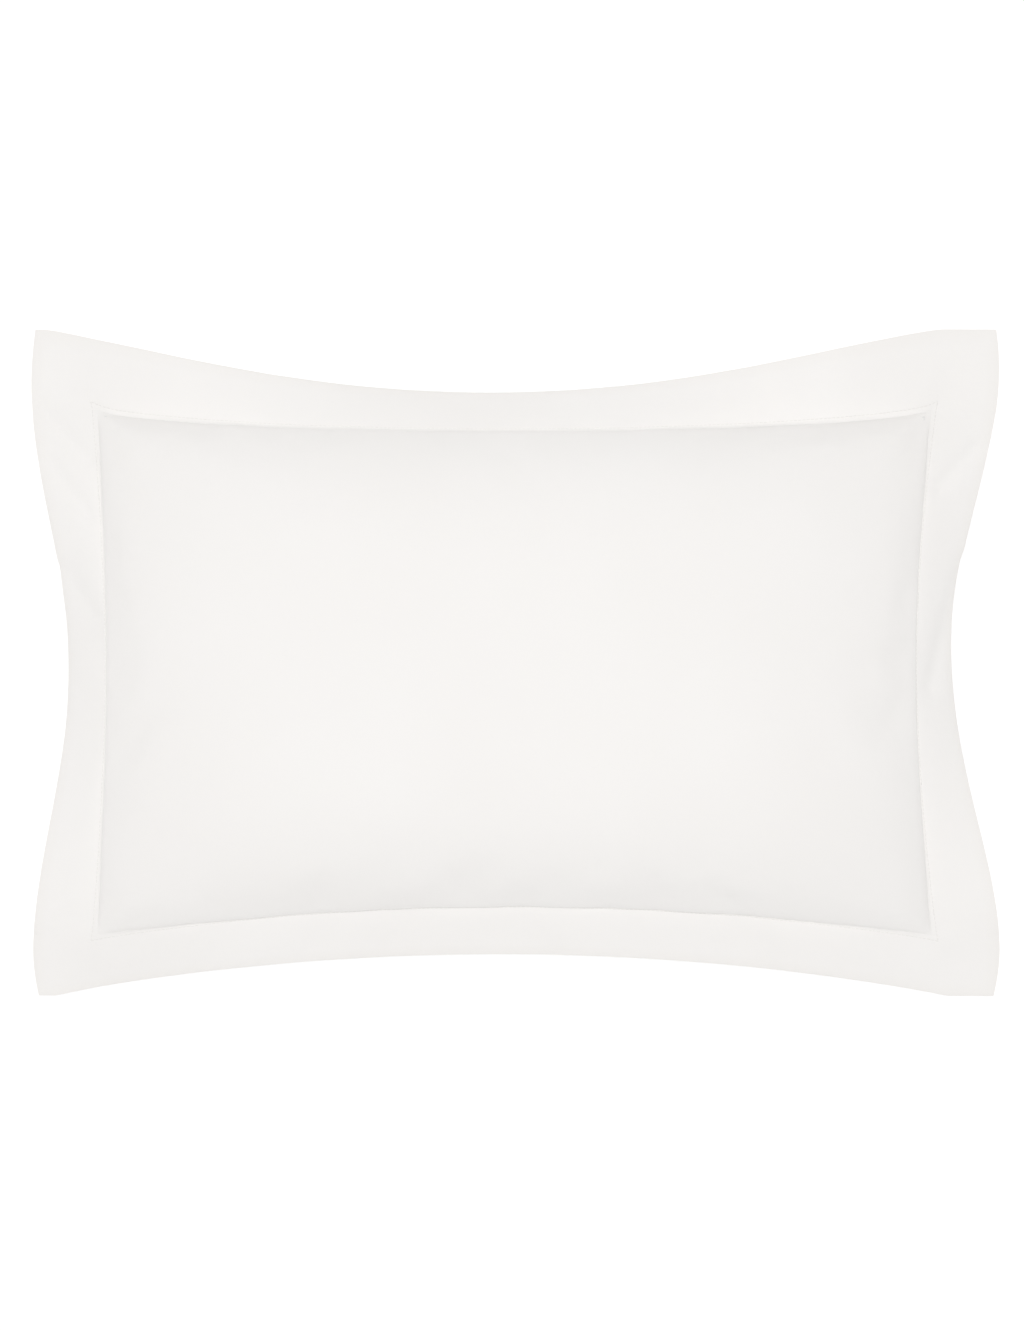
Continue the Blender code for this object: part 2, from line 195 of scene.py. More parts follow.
def spread(count, half_size):
    """Places from -1 to 1, evenly spaced along the cloth of a pocket this wide."""
    fine = np.sin(np.linspace(-math.pi / 2, math.pi / 2, 4001))
    height = (CROWN_HEIGHT - SIDE_SEAM_HEIGHT) * swell(fine)
    step = np.hypot(np.diff(fine * half_size), np.diff(height))
    along = np.concatenate([[0.0], np.cumsum(step)])
    return np.interp(np.linspace(0.0, along[-1], count + 1), along, fine)


def stations():
    """Places across the pocket along X and along Y."""
    return spread(POCKET_COLUMNS, LEFT["seam"]), spread(POCKET_ROWS, TOP["seam"])


def swell(place):
    """Share of the full height across the pocket: 1 in the middle, 0 at a seam."""
    inside = np.clip(1.0 - np.abs(place) ** SHOULDER_FULLNESS, 0.0, 1.0)
    return inside**SHOULDER_STEEPNESS


def seam_reach(side, along):
    return side["seam"] - side["seam_in"] * (1.0 - along**2) ** side["seam_power"]


def edge_reach(side, along):
    place = np.clip((along - side["deepest"]) / side["reach"], -1.0, 1.0)
    return side["edge"] - side["edge_in"] * (1.0 - place**2) ** side["edge_power"]


def by_side(low, high, place, along, reach):
    """A reach from the low or the high side, whichever a place belongs to, blended in the middle."""
    share = np.clip(place * 4.0 + 0.5, 0.0, 1.0)
    return reach(low, along) * (1.0 - share) + reach(high, along) * share


def bulge(low, high, place):
    lean = np.abs(place) ** BULGE_NARROWNESS
    size = np.where(place < 0.0, low["bulge"], high["bulge"])
    return np.sign(place) * size * 4.0 * lean * (1.0 - lean)


def pocket_surface(u, v, front):
    """The shaped pocket at every crossing of u and v."""
    x = u * by_side(LEFT, RIGHT, u, v, seam_reach) + bulge(LEFT, RIGHT, u) * (1.0 - v**BULGE_END)
    y = v * by_side(BOTTOM, TOP, v, u, seam_reach) + bulge(BOTTOM, TOP, v) * (1.0 - u**BULGE_END)
    seam = CORNER_SEAM_HEIGHT + (SIDE_SEAM_HEIGHT - CORNER_SEAM_HEIGHT) * (1.0 - (u * v) ** 2)
    slipped = v + SLUMP * (1.0 - v**2)
    share = swell(u) * swell(slipped if front else v)
    if front:
        return np.stack([x, y, seam + (CROWN_HEIGHT - SIDE_SEAM_HEIGHT) * share], -1)
    z = seam - BELLY_DEPTH * share
    over = z - RESTING_HEIGHT
    z = RESTING_HEIGHT + (over + np.sqrt(over**2 + RESTING_SOFTNESS**2)) / 2.0
    rim = np.maximum(np.abs(u), np.abs(v)) ** RIM_SHARPNESS
    return np.stack([x, y, z * (1.0 - rim) + seam * rim], -1)


def whole_place(place, share, half_seam):
    """A place along a whole side, 1 at the outer corner, from a place in the pocket and in the flange."""
    size = (np.abs(place) * half_seam + share * FLANGE_WIDTH) / (half_seam + FLANGE_WIDTH)
    return np.sign(place) * size


def flange_drop(width):
    """How far the flange's edge hangs below the seam where it looks this wide from above."""
    tilt = np.maximum(1.0 - (width / FLANGE_WIDTH) ** 2, 0.0)
    return FLANGE_WIDTH * (np.sqrt(tilt + TILT_SOFTNESS) - math.sqrt(TILT_SOFTNESS))


def eased(values, free):
    """Smooths a grid's values where they are free, so that the flange bends without a crease."""
    for _ in range(FLANGE_ROUNDS):
        wide = np.pad(values, 1, mode="reflect", reflect_type="odd")
        mean = (wide[2:, 1:-1] + wide[:-2, 1:-1] + wide[1:-1, 2:] + wide[1:-1, :-2]) / 4.0
        values = np.where(free, 0.5 * values + 0.5 * mean, values)
    return values


def fold_depth(x, y):
    """How deep the pressed folds are at a place, seen from above."""
    depth = np.zeros_like(x)
    for start, end, deepest, half_width in FLANGE_FOLDS:
        start, run = np.array(start), np.array(end) - np.array(start)
        along = ((x - start[0]) * run[0] + (y - start[1]) * run[1]) / (run @ run)
        near = np.clip(along, 0.0, 1.0)
        away = np.hypot(x - start[0] - near * run[0], y - start[1] - near * run[1])
        fade = np.clip(np.minimum(along, 1.0 - along) / FOLD_TAPER + 1.0, 0.0, 1.0)
        depth += deepest * fade * np.exp(-((away / half_width) ** 2))
    return depth


def rings_out(count):
    """Share of the flange's width at each crossing along one axis, 0 throughout the pocket."""
    border = FLANGE_CELLS
    outwards = np.arange(1, border + 1) / border
    return np.concatenate([outwards[::-1], np.zeros(count + 1 - 2 * border), outwards])


def shaped_case():
    """Front grid with its flange, and back grid of the pocket only; both share the seam."""
    along, across = stations()
    u, v = np.meshgrid(along, across, indexing="ij")
    pocket = pocket_surface(u, v, True)
    border = FLANGE_CELLS
    front = np.zeros((COLUMNS + 1, ROWS + 1, 3))
    front[border:-border, border:-border] = pocket
    place_x = np.concatenate([np.full(border, -1.0), along, np.full(border, 1.0)])
    place_y = np.concatenate([np.full(border, -1.0), across, np.full(border, 1.0)])
    px, py = np.meshgrid(place_x, place_y, indexing="ij")
    sx, sy = np.meshgrid(rings_out(COLUMNS), rings_out(ROWS), indexing="ij")
    seam_x = px * by_side(LEFT, RIGHT, px, py, seam_reach)
    seam_y = py * by_side(BOTTOM, TOP, py, px, seam_reach)
    edge_x = np.sign(px) * by_side(LEFT, RIGHT, px, whole_place(py, sy, TOP["seam"]), edge_reach)
    edge_y = np.sign(py) * by_side(BOTTOM, TOP, py, whole_place(px, sx, LEFT["seam"]), edge_reach)
    drop_x = flange_drop(np.abs(edge_x - seam_x))
    drop_y = flange_drop(np.abs(edge_y - seam_y))
    tuck = TIP_TUCK * sy**2
    x = seam_x + (edge_x - seam_x) * sx - np.sign(px) * tuck * sx
    y = seam_y + (edge_y - seam_y) * sy
    seam = CORNER_SEAM_HEIGHT + (SIDE_SEAM_HEIGHT - CORNER_SEAM_HEIGHT) * (1.0 - (px * py) ** 2)
    z = seam - drop_x * sx - drop_y * sy
    flange = (sx > 0.0) | (sy > 0.0)
    front[flange] = np.stack([x, y, z], -1)[flange]
    inside = flange.copy()
    inside[[0, -1]] = False
    inside[:, [0, -1]] = False
    front[..., 0] = eased(front[..., 0], inside)
    front[..., 1] = eased(front[..., 1], inside)
    front[..., 2] = np.maximum(eased(front[..., 2], flange), LOWEST_EDGE)
    return front, pocket_surface(u, v, False)


def under_ids(ids, first):
    """Ids of a second grid on the rim of this one; its own points are counted from first."""
    under = ids.copy()
    inner = under[1:-1, 1:-1]
    inner[...] = first + np.arange(inner.size).reshape(inner.shape)
    return under


def grid_faces(ids, flip):
    a, b, c, d = ids[:-1, :-1], ids[1:, :-1], ids[1:, 1:], ids[:-1, 1:]
    order = (a, d, c, b) if flip else (a, b, c, d)
    return np.stack([corner.ravel() for corner in order], -1)


def case_mesh(front, back):
    """One mesh of the case's front, flange and pocket back, with the back's rim on the front's seam."""
    border = FLANGE_CELLS
    ids = np.arange(front.shape[0] * front.shape[1]).reshape(front.shape[:2])
    back_ids = under_ids(ids[border:-border, border:-border], ids.size)
    points = np.concatenate([front.reshape(-1, 3), back[1:-1, 1:-1].reshape(-1, 3)])
    faces = np.concatenate([grid_faces(ids, False), grid_faces(back_ids, True)])
    return points, faces, ids, back_ids


# ------------------------------------------------------------------ simulation


def averaged(movement, faces, rounds):
    """A movement after repeated averages over neighbours, which leave its broad part."""
    pairs = np.concatenate([faces[:, [0, 1]], faces[:, [1, 2]], faces[:, [2, 3]], faces[:, [3, 0]]])
    pairs = np.unique(np.sort(pairs, 1), axis=0)
    count = np.bincount(pairs.ravel(), minlength=len(movement))[:, None]
    for _ in range(rounds):
        total = np.zeros_like(movement)
        np.add.at(total, pairs[:, 0], movement[pairs[:, 1]])
        np.add.at(total, pairs[:, 1], movement[pairs[:, 0]])
        movement = 0.5 * movement + 0.5 * total / count
    return movement


def cloth_settings(modifier):
    cloth = modifier.settings
    cloth.quality = 6
    cloth.mass = CLOTH_MASS
    cloth.tension_stiffness = 30.0
    cloth.compression_stiffness = 30.0
    cloth.shear_stiffness = 5.0
    cloth.bending_stiffness = 0.25
    cloth.air_damping = 2.0
    cloth.use_pressure = True
    cloth.uniform_pressure_force = PRESSURE
    cloth.vertex_group_pressure = "pocket"
    cloth.vertex_group_shrink = "seam"
    cloth.shrink_min = -EXTRA_CLOTH
    cloth.shrink_max = SEAM_GATHER
    cloth.effector_weights.gravity = 0.0
    modifier.collision_settings.use_self_collision = False
    modifier.point_cache.frame_start = 1
    modifier.point_cache.frame_end = FRAMES


def fold_share(ids, back_ids, count):
    """Share of its movement that a point keeps: some at the stitches, more inside them, little in the face."""
    share = np.ones(count)
    along, across = stations()
    u, v = np.meshgrid(along, across, indexing="ij")
    inwards = np.clip((1.0 - np.maximum(np.abs(u), np.abs(v))) / FOLD_REACH, 0.0, 1.0)
    taut = 1.0 - (1.0 - FACE_SHARE) * inwards**2 * (3.0 - 2.0 * inwards)
    held = np.clip(inwards * FOLD_REACH / SEAM_REACH, 0.0, 1.0)
    taut = taut * (SEAM_SHARE + (1.0 - SEAM_SHARE) * held)
    border = FLANGE_CELLS
    out = np.maximum(rings_out(COLUMNS)[:, None], rings_out(ROWS)[None, :])
    share[ids] = SEAM_SHARE + (EDGE_SHARE - SEAM_SHARE) * out
    share[ids[border:-border, border:-border]] = taut
    share[back_ids] = taut
    return share[:, None]


def cloth_object(points, faces, ids, back_ids):
    """The case as one object to simulate; groups name its pocket and its seam."""
    mesh = bpy.data.meshes.new("case_cloth")
    mesh.from_pydata(points.tolist(), [], faces.tolist())
    thing = bpy.data.objects.new("case_cloth", mesh)
    bpy.context.scene.collection.objects.link(thing)
    border = FLANGE_CELLS
    inner = ids[border:-border, border:-border]
    pocket = thing.vertex_groups.new(name="pocket")
    pocket.add(np.unique(back_ids).tolist(), 1.0, "REPLACE")
    pocket.add(inner.ravel().tolist(), 1.0, "REPLACE")
    seam = thing.vertex_groups.new(name="seam")
    seam.add(np.arange(len(points)).tolist(), 0.0, "REPLACE")
    seam.add(np.concatenate([inner[0], inner[-1], inner[:, 0], inner[:, -1]]).tolist(), 1.0, "REPLACE")
    cloth_settings(thing.modifiers.new("Cloth", "CLOTH"))
    return thing


def run_cloth(thing):
    """Steps the simulation, removes its object and returns where its points ended."""
    scene = bpy.context.scene
    for frame in range(1, FRAMES + 1):
        scene.frame_set(frame)
    done = thing.evaluated_get(bpy.context.evaluated_depsgraph_get()).to_mesh()
    moved = np.zeros(len(done.vertices) * 3)
    done.vertices.foreach_get("co", moved)
    scene.frame_set(1)
    mesh = thing.data
    bpy.data.objects.remove(thing)
    bpy.data.meshes.remove(mesh)
    return moved.reshape(-1, 3)


def simulated(points, faces, ids, back_ids):
    """The points after the cloth has run, without its broad movement and with a cap on the rest."""
    movement = run_cloth(cloth_object(points, faces, ids, back_ids)) - points
    movement -= BROAD_SHARE * averaged(movement, faces, SMOOTHING_ROUNDS)
    movement = averaged(movement, faces, CALMING_ROUNDS)
    size = np.linalg.norm(movement, axis=1, keepdims=True)
    movement *= np.minimum(1.0, MOST_MOVEMENT / np.maximum(size, 1e-9))
    movement *= fold_share(ids, back_ids, len(points))
    out = np.maximum(rings_out(COLUMNS)[:, None], rings_out(ROWS)[None, :])
    movement[ids, :2] *= (1.0 - out)[..., None]
    result = points + movement
    result[:, 2] = np.maximum(result[:, 2], LOWEST_CLOTH)
    return result


def finer(grid, cuts):
    """The grid with twice the cells along its first axis; a crease at a cut stays sharp."""
    parts = []
    for low, high in zip(cuts[:-1], cuts[1:]):
        rows = grid[low:high + 1]
        before = 2.0 * rows[:1] - rows[1:2]
        after = 2.0 * rows[-1:] - rows[-2:-1]
        padded = np.concatenate([before, rows, after])
        middle = (9.0 * (padded[1:-2] + padded[2:-1]) - padded[:-3] - padded[3:]) / 16.0
        part = np.empty((2 * len(rows) - 1, *rows.shape[1:]))
        part[::2] = rows
        part[1::2] = middle
        parts.append(part if high == cuts[-1] else part[:-1])
    return np.concatenate(parts)


def refined(grid, cuts_x, cuts_y):
    once = finer(grid, cuts_x)
    return finer(once.swapaxes(0, 1), cuts_y).swapaxes(0, 1)


def normals(grid, up):
    """Unit normals at the crossings of a grid."""
    along = np.gradient(grid, axis=0)
    across = np.gradient(grid, axis=1)
    cross = np.cross(along, across)
    cross /= np.maximum(np.linalg.norm(cross, axis=-1, keepdims=True), 1e-12)
    return cross if up else -cross


def build_case():
    front, back = shaped_case()
    points, faces, ids, back_ids = case_mesh(front, back)
    points = simulated(points, faces, ids, back_ids)
    border = FLANGE_CELLS
    front, back = points[ids], points[back_ids]
    front = refined(front, [0, border, COLUMNS - border, COLUMNS], [0, border, ROWS - border, ROWS])
    back = refined(back, [0, POCKET_COLUMNS], [0, POCKET_ROWS])
    pressed = fold_depth(front[..., 0], front[..., 1])
    pressed[2 * border:-2 * border, 2 * border:-2 * border] = 0.0
    front -= normals(front, True) * pressed[..., None]
    return front, back


# ------------------------------------------------------------------ materials


def new_material(name, colour, roughness):
    material = bpy.data.materials.new(name)
    material.use_nodes = True
    shader = material.node_tree.nodes["Principled BSDF"]
    shader.inputs["Base Color"].default_value = (*colour, 1.0)
    shader.inputs["Roughness"].default_value = roughness
    return material, material.node_tree, shader


def link(tree, source, target):
    tree.links.new(source, target)


def node(tree, kind, **values):
    made = tree.nodes.new(kind)
    for key, value in values.items():
        if key in made.inputs:
            made.inputs[key].default_value = value
        else:
            setattr(made, key, value)
    return made


def colour_blend(tree, factor, dark, light):
    ramp = tree.nodes.new("ShaderNodeValToRGB")
    ramp.color_ramp.elements[0].color = (*dark, 1.0)
    ramp.color_ramp.elements[1].color = (*light, 1.0)
    ramp.color_ramp.elements[0].position = TONE_BLEND[0]
    ramp.color_ramp.elements[1].position = TONE_BLEND[1]
    link(tree, factor, ramp.inputs["Fac"])
    return ramp.outputs["Color"]


def cloth_coordinates(tree):
    """Where a place lies on the flat cloth, in metres, so that the weave follows the cloth."""
    return node(tree, "ShaderNodeAttribute", attribute_name="cloth").outputs["Vector"]


def thread_waves(tree, place, direction, pitch):
    wave = node(tree, "ShaderNodeTexWave", wave_type="BANDS", bands_direction=direction)
    wave.inputs["Scale"].default_value = 1.0 / pitch / WAVES_PER_METRE
    wave.inputs["Distortion"].default_value = 0.6
    wave.inputs["Detail"].default_value = 1.0
    link(tree, place, wave.inputs["Vector"])
    return wave.outputs["Fac"]


def noise(tree, place, scale, detail, distortion=0.0):
    made = node(tree, "ShaderNodeTexNoise")
    made.inputs["Scale"].default_value = scale
    made.inputs["Detail"].default_value = detail
    made.inputs["Distortion"].default_value = distortion
    link(tree, place, made.inputs["Vector"])
    return made.outputs["Fac"]


def bump(tree, height, strength, distance):
    made = node(tree, "ShaderNodeBump")
    made.inputs["Strength"].default_value = strength
    made.inputs["Distance"].default_value = distance
    link(tree, height, made.inputs["Height"])
    return made


def slubs(tree, place):
    """Long thick places in the yarn."""
    stretch = node(tree, "ShaderNodeMapping", vector_type="POINT")
    stretch.inputs["Scale"].default_value = SLUB_SCALE
    link(tree, place, stretch.inputs["Vector"])
    return noise(tree, stretch.outputs["Vector"], 1.0, 2.0)


def weave_height(tree, place, slub, pitch, diagonal):
    """Threads that cross, with their slubs."""
    first = thread_waves(tree, place, "DIAGONAL" if diagonal else "X", pitch)
    second = thread_waves(tree, place, "Y", pitch)
    threads = node(tree, "ShaderNodeMath", operation="ADD")
    link(tree, first, threads.inputs[0])
    link(tree, second, threads.inputs[1])
    height = node(tree, "ShaderNodeMath", operation="MULTIPLY_ADD")
    link(tree, slub, height.inputs[0])
    height.inputs[1].default_value = SLUB_HEIGHT
    link(tree, threads.outputs[0], height.inputs[2])
    return height.outputs[0]


def worn_colour(tree, place, dark, light):
    """Broad tone, a little darker where the cloth is worn."""
    base = colour_blend(tree, noise(tree, place, TONE_SCALE, 5.0), dark, light)
    worn = node(tree, "ShaderNodeMix", data_type="RGBA", blend_type="MULTIPLY")
    wear = node(tree, "ShaderNodeAttribute", attribute_name="wear")
    link(tree, wear.outputs["Fac"], worn.inputs["Factor"])
    link(tree, base, worn.inputs["A"])
    worn.inputs["B"].default_value = WORN_TINT
    return worn.outputs["Result"]


def woven(name, light, dark, pitch, depth, roughness, sheen, diagonal=False):
    """A plain weave, or a twill if diagonal: threads, slubs, crumples, broad tone and wear on the edges."""
    material, tree, shader = new_material(name, light, roughness)
    place = cloth_coordinates(tree)
    slub = slubs(tree, place)
    soft = bump(tree, noise(tree, place, CRUMPLE_SCALE, 4.0), 0.25, CRUMPLE_DEPTH)
    relief = bump(tree, weave_height(tree, place, slub, pitch, diagonal), 0.35, depth)
    link(tree, soft.outputs["Normal"], relief.inputs["Normal"])
    link(tree, relief.outputs["Normal"], shader.inputs["Normal"])
    link(tree, worn_colour(tree, place, dark, light), shader.inputs["Base Color"])
    rough = node(tree, "ShaderNodeMapRange")
    rough.inputs["To Min"].default_value = roughness - ROUGHNESS_SPREAD
    rough.inputs["To Max"].default_value = roughness + ROUGHNESS_SPREAD
    link(tree, slub, rough.inputs["Value"])
    link(tree, rough.outputs["Result"], shader.inputs["Roughness"])
    shader.inputs["Sheen Weight"].default_value = sheen
    shader.inputs["Sheen Roughness"].default_value = 0.5
    shader.inputs["Specular IOR Level"].default_value = 0.25
    return material


def fibrous(name, light, dark, scale, roughness):
    """Thread or fibre: fine strands with a little variation in tone."""
    material, tree, shader = new_material(name, light, roughness)
    place = tree.nodes.new("ShaderNodeTexCoord").outputs["Object"]
    strands = noise(tree, place, scale, 6.0, 1.5)
    link(tree, colour_blend(tree, strands, dark, light), shader.inputs["Base Color"])
    link(tree, bump(tree, strands, 0.5, 0.4 / scale).outputs["Normal"], shader.inputs["Normal"])
    shader.inputs["Sheen Weight"].default_value = 0.15
    return material


def case_percale():
    return woven("case_percale", light=(0.945, 0.928, 0.910), dark=(0.933, 0.914, 0.894),
                 pitch=0.0007, depth=0.00006, roughness=0.82, sheen=0.12)


def ticking_twill():
    return woven("ticking_twill", light=(0.88, 0.875, 0.86), dark=(0.85, 0.845, 0.83),
                 pitch=0.0011, depth=0.0001, roughness=0.8, sheen=0.1, diagonal=True)


def label_satin():
    return woven("label_satin", light=(0.90, 0.90, 0.895), dark=(0.87, 0.87, 0.865),
                 pitch=0.0005, depth=0.00005, roughness=0.5, sheen=0.2)


def cotton_thread():
    return fibrous("cotton_thread", light=(0.90, 0.885, 0.865), dark=(0.84, 0.825, 0.80),
                   scale=900.0, roughness=0.6)


def polyester_fibre():
    return fibrous("polyester_fibre", light=(0.93, 0.93, 0.92), dark=(0.85, 0.85, 0.84),
                   scale=160.0, roughness=0.95)


def build_materials():
    return {
        "case": case_percale(),
        "ticking": ticking_twill(),
        "label": label_satin(),
        "thread": cotton_thread(),
        "fibre": polyester_fibre(),
    }


# ------------------------------------------------------------------ pieces


def register(thing, material, replaced):
    bpy.context.scene.collection.objects.link(thing)
    thing.data.materials.append(material)
    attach(thing, "root")
    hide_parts(replaced)
    return thing


def panel(name, grid, flat, wear, keep, flip, thickness, outwards=1.0):
    """A cloth panel of the kept cells of a grid; flat and wear are stored on its points."""
    ids = np.arange(grid.shape[0] * grid.shape[1]).reshape(grid.shape[:2])
    faces = grid_faces(ids, flip)[keep.ravel()]
    used, faces = np.unique(faces, return_inverse=True)
    mesh = bpy.data.meshes.new(name)
    mesh.from_pydata(grid.reshape(-1, 3)[used].tolist(), [], faces.reshape(-1, 4).tolist())
    place = mesh.attributes.new("cloth", "FLOAT_VECTOR", "POINT")
    place.data.foreach_set("vector", flat.reshape(-1, 3)[used].ravel())
    rubbed = mesh.attributes.new("wear", "FLOAT", "POINT")
    rubbed.data.foreach_set("value", wear.ravel()[used])
    mesh.polygons.foreach_set("use_smooth", np.ones(len(mesh.polygons), bool))
    mesh.update()
    thing = bpy.data.objects.new(name, mesh)
    solidify = thing.modifiers.new("Cloth thickness", "SOLIDIFY")
    solidify.thickness = thickness
    solidify.offset = outwards
    shading = thing.modifiers.new("Edge shading", "WEIGHTED_NORMAL")
    shading.weight = 100
    return thing


def flat_places(shape):
    """Flat cloth coordinates of a grid, with cells of their real size."""
    i, j = np.meshgrid(np.arange(shape[0]), np.arange(shape[1]), indexing="ij")
    return np.stack([i * FINE_CELL, j * FINE_CELL, np.zeros(shape)], -1)


def rim_wear(shape, cells):
    """1 at the outer edge of a grid, 0 some cells further in."""
    i, j = np.meshgrid(np.arange(shape[0]), np.arange(shape[1]), indexing="ij")
    inside = np.minimum(np.minimum(i, shape[0] - 1 - i), np.minimum(j, shape[1] - 1 - j))
    return np.clip(1.0 - inside / cells, 0.0, 1.0) * WEAR_STRENGTH


def new_curve(name, radius, roundness, caps):
    curve = bpy.data.curves.new(name, "CURVE")
    curve.dimensions = "3D"
    curve.bevel_depth = radius
    curve.bevel_resolution = roundness
    curve.use_fill_caps = caps
    return curve


def stitches(name, line, radius, closed):
    """A row of separate stitches along a line of points, each thinner at its ends."""
    line = np.asarray(line)
    if closed:
        line = np.concatenate([line, line[:1]])
    along = np.concatenate([[0.0], np.cumsum(np.linalg.norm(np.diff(line, axis=0), axis=1))])
    pitch = STITCH_LENGTH + STITCH_GAP
    count = int(along[-1] / pitch)
    curve = new_curve(name, radius, 1, True)
    for k in range(count):
        at = (k + 0.5) * along[-1] / count + np.array(STITCH_PLACES) * STITCH_LENGTH
        at = np.clip(at, 0.0, along[-1])
        points = np.stack([np.interp(at, along, line[:, axis]) for axis in range(3)], -1)
        spline = curve.splines.new("POLY")
        spline.points.add(len(points) - 1)
        for target, point, width in zip(spline.points, points, STITCH_WIDTHS):
            target.co = (*point, 1.0)
            target.radius = width
        spline.use_smooth = True
    return bpy.data.objects.new(name, curve)


def ring(grid, margin):
    """The points once round a grid, a margin of cells inside its edge."""
    west, east, south, north = margin, grid.shape[0] - 1 - margin, margin, grid.shape[1] - 1 - margin
    return np.concatenate([
        grid[west:east, south],
        grid[east, south:north],
        grid[east:west:-1, north],
        grid[west, north:south:-1],
    ])


def tube(name, line, radius, closed):
    curve = new_curve(name, radius, 2, not closed)
    spline = curve.splines.new("POLY")
    spline.points.add(len(line) - 1)
    for target, point in zip(spline.points, line):
        target.co = (*point, 1.0)
    spline.use_cyclic_u = closed
    spline.use_smooth = True
    return bpy.data.objects.new(name, curve)


def whole_back(front, back):
    """The case's back layer on the front's grid: flange just under the front's, pocket from the back."""
    border = 2 * FLANGE_CELLS
    shift = normals(front, True) * LAYER_GAP
    grid = front - shift
    grid[border:-border, border:-border] = back
    return grid


def cells(shape, value=True):
    return np.full((shape[0] - 1, shape[1] - 1), value)


def mouth_column(from_seam, shape):
    """The fine-grid column at a distance from the right seam, measured along the cloth."""
    return shape[0] - 1 - 2 * FLANGE_CELLS - round(from_seam / FINE_CELL)


def build_front(front, materials):
    flat, wear = flat_places(front.shape[:2]), rim_wear(front.shape[:2], WEAR_CELLS)
    thing = panel("pillowcase_front", front, flat, wear, cells(front.shape), False, CASE_CLOTH)
    register(thing, materials["case"], "case_front_panel")
    lift = front + normals(front, True) * (CASE_CLOTH + STITCH_LIFT)
    line = ring(lift, 2 * FLANGE_CELLS - TOPSTITCH_CELLS)
    thread = stitches("topstitch_front", line, STITCH_RADIUS, True)
    register(thread, materials["thread"], "flange_topstitch_front")


def build_back(front, back, materials):
    grid = whole_back(front, back)
    down = -normals(grid, True)
    shape = grid.shape[:2]
    border = 2 * FLANGE_CELLS
    mouth = mouth_column(MOUTH_FROM_SEAM, shape)
    hem = mouth_column(MOUTH_FROM_SEAM + HEM_WIDTH, shape)
    i, j = np.meshgrid(np.arange(shape[0]), np.arange(shape[1]), indexing="ij")
    in_hem = ((i >= hem) & (j >= border) & (j <= shape[1] - 1 - border)).astype(float)
    across = np.clip((j - border) / (shape[1] - 1 - 2 * border), 0.0, 1.0)
    lip = np.clip((i - hem) / max(mouth - hem, 1), 0.0, 1.0) ** 2 * np.sin(math.pi * across)
    lifted = grid + down * (in_hem * HEM_STEP + lip * LIP_LIFT)[..., None]
    keep = cells(shape)
    keep[mouth:] = False
    flat, wear = flat_places(shape), rim_wear(shape, WEAR_CELLS)
    thing = panel("pillowcase_back", lifted, flat, wear, keep, True, CASE_CLOTH)
    register(thing, materials["case"], "case_back_panel")
    outer = lifted + down * (CASE_CLOTH + STITCH_LIFT)
    under = ring(grid + down * (CASE_CLOTH + STITCH_LIFT), border - TOPSTITCH_CELLS)
    top = stitches("topstitch_back", under, STITCH_RADIUS, True)
    register(top, materials["thread"], "flange_topstitch_back")
    row = stitches("hem_stitch_back", outer[hem + 1, border + 1:shape[1] - 1 - border], STITCH_RADIUS, False)
    register(row, materials["thread"], "back_hem_stitch")
    return lifted, mouth


def build_flap(front, back, mouth, materials):
    """The flap makes the back layer of the right flange and tucks in behind the mouth."""
    grid = whole_back(front, back)
    down = -normals(grid, True)
    shape = grid.shape[:2]
    border = 2 * FLANGE_CELLS
    end = mouth_column(FLAP_DEPTH, shape)
    i, j = np.meshgrid(np.arange(shape[0]), np.arange(shape[1]), indexing="ij")
    deep = np.clip((shape[0] - 1 - border - i) / (shape[0] - 1 - border - mouth), 0.0, 1.0)
    deep = deep * ((j > border) & (j < shape[1] - 1 - border))
    tucked = grid - down * (deep * FLAP_INSET)[..., None]
    keep = cells(shape)
    keep[:end] = False
    keep[end:mouth, :border + FLAP_SIDE_CELLS] = False
    keep[end:mouth, shape[1] - 1 - border - FLAP_SIDE_CELLS:] = False
    flat, wear = flat_places(shape), rim_wear(shape, WEAR_CELLS)
    thing = panel("pillowcase_flap", tucked, flat, wear, keep, True, CASE_CLOTH)
    register(thing, materials["case"], "case_closure_flap")
    row_at = mouth_column(FLAP_DEPTH - FLAP_HEM, shape)
    clear = border + FLAP_ROW_CELLS
    line = (tucked + down * (CASE_CLOTH + STITCH_LIFT))[row_at, clear:shape[1] - clear]
    row = stitches("hem_stitch_flap", line, STITCH_RADIUS, False)
    register(row, materials["thread"], "flap_hem_stitch")
    return tucked


def build_edge_seam(front, materials):
    """The hidden seam between the two layers of the flange."""
    middle = front - normals(front, True) * (LAYER_GAP / 2.0)
    thread = tube("edge_seam_thread", ring(middle, EDGE_SEAM_CELLS), LAYER_GAP / 2.0, True)
    register(thread, materials["thread"], "outer_edge_seam_thread")


def build_tack(name, replaced, lifted, mouth, side, materials):
    """A dense zigzag bar at one end of the mouth."""
    border = 2 * FLANGE_CELLS
    down = -normals(lifted, True)
    outer = lifted + down * (CASE_CLOTH + STITCH_RADIUS)
    j = border - 1 if side < 0 else lifted.shape[1] - border
    step = -1 if side < 0 else 1
    start, end = outer[mouth - 1, j], outer[mouth - 1, j + TACK_CELLS * step]
    towards = outer[mouth - 2, j] - outer[mouth - 1, j]
    towards /= np.linalg.norm(towards)
    line = []
    for k in range(TACK_TURNS + 1):
        line.append(start + (end - start) * k / TACK_TURNS + towards * TACK_REACH[k % 2])
    bar = tube(name, line, STITCH_RADIUS, False)
    register(bar, materials["thread"], replaced)


